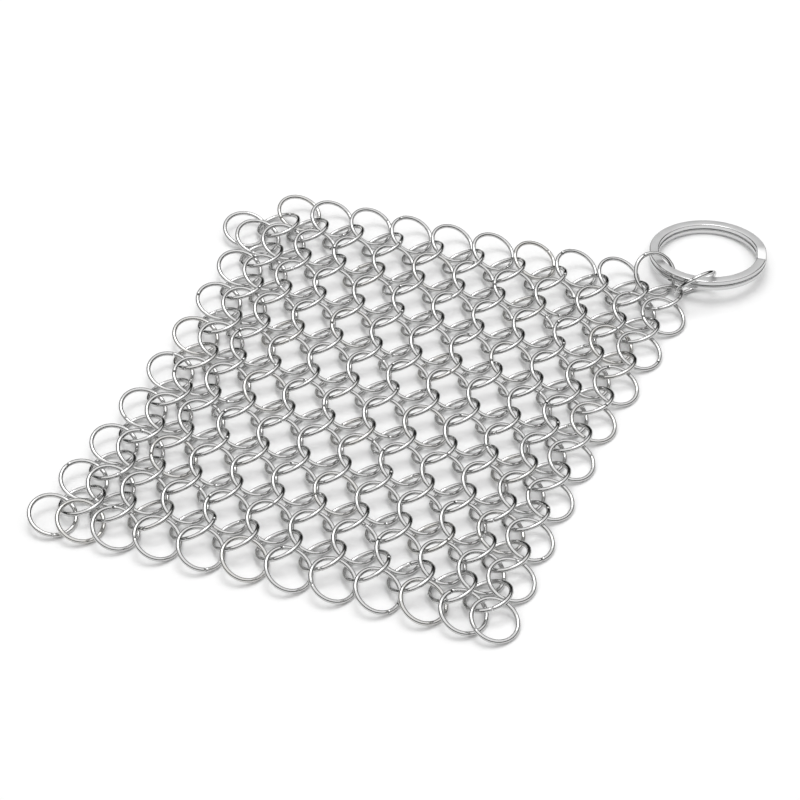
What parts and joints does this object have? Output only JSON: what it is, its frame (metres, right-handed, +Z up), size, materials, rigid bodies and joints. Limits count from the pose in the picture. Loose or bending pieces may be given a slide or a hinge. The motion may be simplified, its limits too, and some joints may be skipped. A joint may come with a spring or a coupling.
{
  "type": "chain mail pot scrubber",
  "caption": "Square sheet of interlinked round steel wire rings for scouring pans, with a flat split ring at one corner for hanging it up.",
  "frame": {"origin": "on the table under the middle of the whole object as it lies, split ring included", "axes": "+Z up from the table, +Y along the ring columns towards the edge with the split ring, +X to the right across the columns"},
  "size_m": [0.1196, 0.132, 0.0087],
  "materials": {
    "ring_steel": "polished stainless steel wire",
    "split_steel": "tumbled nickel bright, satin on its flat faces"
  },
  "bodies": {
    "ring_column_01": {"ring_column_01": "ring_steel"},
    "ring_column_02": {"ring_column_02": "ring_steel"},
    "ring_column_03": {"ring_column_03": "ring_steel"},
    "ring_column_04": {"ring_column_04": "ring_steel"},
    "ring_column_05": {"ring_column_05": "ring_steel"},
    "ring_column_06": {"ring_column_06": "ring_steel"},
    "ring_column_07": {"ring_column_07": "ring_steel"},
    "ring_column_08": {"ring_column_08": "ring_steel"},
    "ring_column_09": {"ring_column_09": "ring_steel"},
    "ring_column_10": {"ring_column_10": "ring_steel"},
    "ring_column_11": {"ring_column_11": "ring_steel"},
    "ring_column_12": {"ring_column_12": "ring_steel"},
    "ring_column_13": {"ring_column_13": "ring_steel"},
    "ring_column_14": {"ring_column_14": "ring_steel"},
    "ring_column_15": {"ring_column_15": "ring_steel"},
    "ring_column_16": {"ring_column_16": "ring_steel"},
    "ring_column_17": {"ring_column_17": "ring_steel"},
    "ring_column_18": {"ring_column_18": "ring_steel"},
    "ring_column_19": {"ring_column_19": "ring_steel"},
    "ring_column_20": {"ring_column_20": "ring_steel"},
    "ring_column_21": {"ring_column_21": "ring_steel"},
    "ring_column_22": {"ring_column_22": "ring_steel"},
    "ring_column_23": {"ring_column_23": "ring_steel"},
    "corner_ring": {"corner_ring": "ring_steel"},
    "holder_ring": {"holder_ring": "ring_steel"},
    "split_ring": {"split_ring": "split_steel", "link_ring": "ring_steel"}
  },
  "joints": [
    {"name": "fold_01_02", "type": "hinge", "parent": "ring_column_02", "child": "ring_column_01", "pos_m": [-0.04674, 0, 0.00151], "axis": [0.0845, 0.9964, 0], "range_deg": [-3, 30]},
    {"name": "fold_02_03", "type": "hinge", "parent": "ring_column_03", "child": "ring_column_02", "pos_m": [-0.04403, 0, 0.00257], "axis": [-0.0802, -0.9968, 0], "range_deg": [-6, 8]},
    {"name": "fold_03_04", "type": "hinge", "parent": "ring_column_04", "child": "ring_column_03", "pos_m": [-0.04082, 0, 0.00147], "axis": [0.0815, 0.9967, 0], "range_deg": [-2, 26]},
    {"name": "fold_04_05", "type": "hinge", "parent": "ring_column_05", "child": "ring_column_04", "pos_m": [-0.03725, 0, 0.003], "axis": [-0.0829, -0.9966, 0], "range_deg": [-6, 12]},
    {"name": "fold_05_06", "type": "hinge", "parent": "ring_column_06", "child": "ring_column_05", "pos_m": [-0.03336, 0, 0.00142], "axis": [0.0843, 0.9964, 0], "range_deg": [-1, 30]},
    {"name": "fold_06_07", "type": "hinge", "parent": "ring_column_07", "child": "ring_column_06", "pos_m": [-0.02914, 0, 0.00339], "axis": [-0.086, -0.9963, 0], "range_deg": [-5, 12]},
    {"name": "fold_07_08", "type": "hinge", "parent": "ring_column_08", "child": "ring_column_07", "pos_m": [-0.02486, 0, 0.00142], "axis": [0.0876, 0.9962, 0], "range_deg": [-4, 30]},
    {"name": "fold_08_09", "type": "hinge", "parent": "ring_column_09", "child": "ring_column_08", "pos_m": [-0.02052, 0, 0.00344], "axis": [-0.0893, -0.996, 0], "range_deg": [-6, 12]},
    {"name": "fold_09_10", "type": "hinge", "parent": "ring_column_10", "child": "ring_column_09", "pos_m": [-0.01617, 0, 0.00142], "axis": [0.091, 0.9959, 0], "range_deg": [-6, 30]},
    {"name": "fold_10_11", "type": "hinge", "parent": "ring_column_11", "child": "ring_column_10", "pos_m": [-0.01183, 0, 0.00344], "axis": [-0.0927, -0.9957, 0], "range_deg": [-8, 12]},
    {"name": "fold_11_12", "type": "hinge", "parent": "ring_column_12", "child": "ring_column_11", "pos_m": [-0.00748, 0, 0.00142], "axis": [0.0943, 0.9955, 0], "range_deg": [-8, 30]},
    {"name": "fold_12_13", "type": "hinge", "parent": "ring_column_12", "child": "ring_column_13", "pos_m": [-0.00314, 0, 0.00344], "axis": [0.096, 0.9954, 0], "range_deg": [-8, 12]},
    {"name": "fold_13_14", "type": "hinge", "parent": "ring_column_13", "child": "ring_column_14", "pos_m": [0.00121, 0, 0.00142], "axis": [-0.0977, -0.9952, 0], "range_deg": [-8, 30]},
    {"name": "fold_14_15", "type": "hinge", "parent": "ring_column_14", "child": "ring_column_15", "pos_m": [0.00556, 0, 0.00344], "axis": [0.0994, 0.9951, 0], "range_deg": [-8, 12]},
    {"name": "fold_15_16", "type": "hinge", "parent": "ring_column_15", "child": "ring_column_16", "pos_m": [0.0099, 0, 0.00142], "axis": [-0.101, -0.9949, 0], "range_deg": [-8, 30]},
    {"name": "fold_16_17", "type": "hinge", "parent": "ring_column_16", "child": "ring_column_17", "pos_m": [0.01425, 0, 0.00344], "axis": [0.1027, 0.9947, 0], "range_deg": [-6, 12]},
    {"name": "fold_17_18", "type": "hinge", "parent": "ring_column_17", "child": "ring_column_18", "pos_m": [0.01859, 0, 0.00142], "axis": [-0.1043, -0.9945, 0], "range_deg": [-6, 30]},
    {"name": "fold_18_19", "type": "hinge", "parent": "ring_column_18", "child": "ring_column_19", "pos_m": [0.02292, 0, 0.00342], "axis": [0.1058, 0.9944, 0], "range_deg": [-5, 12]},
    {"name": "fold_19_20", "type": "hinge", "parent": "ring_column_19", "child": "ring_column_20", "pos_m": [0.027, 0, 0.00152], "axis": [-0.1071, -0.9943, 0], "range_deg": [-6, 30]},
    {"name": "fold_20_21", "type": "hinge", "parent": "ring_column_20", "child": "ring_column_21", "pos_m": [0.03066, 0, 0.00304], "axis": [0.1031, 0.9947, 0], "range_deg": [-4, 12]},
    {"name": "fold_21_22", "type": "hinge", "parent": "ring_column_21", "child": "ring_column_22", "pos_m": [0.03403, 0, 0.0016], "axis": [-0.1036, -0.9946, 0], "range_deg": [-2, 13]},
    {"name": "fold_22_23", "type": "hinge", "parent": "ring_column_22", "child": "ring_column_23", "pos_m": [0.03696, 0, 0.00257], "axis": [0.1041, 0.9946, 0], "range_deg": [-6, 12]},
    {"name": "corner_swing", "type": "hinge", "parent": "ring_column_02", "child": "corner_ring", "pos_m": [-0.04635, 0.03167, 0.00158], "axis": [-0.0523, 0.4973, -0.866], "range_deg": [-3, 24]},
    {"name": "holder_swing", "type": "hinge", "parent": "ring_column_22", "child": "holder_ring", "pos_m": [0.04298, 0.03981, 0.0015], "axis": [0.04, -0.5039, 0.8628], "range_deg": [0, 5]},
    {"name": "split_ring_swing", "type": "hinge", "parent": "holder_ring", "child": "split_ring", "pos_m": [0.04145, 0.04368, 0.00328], "axis": [0.6492, -0.7603, 0.023], "range_deg": [0, 60]}
  ]
}
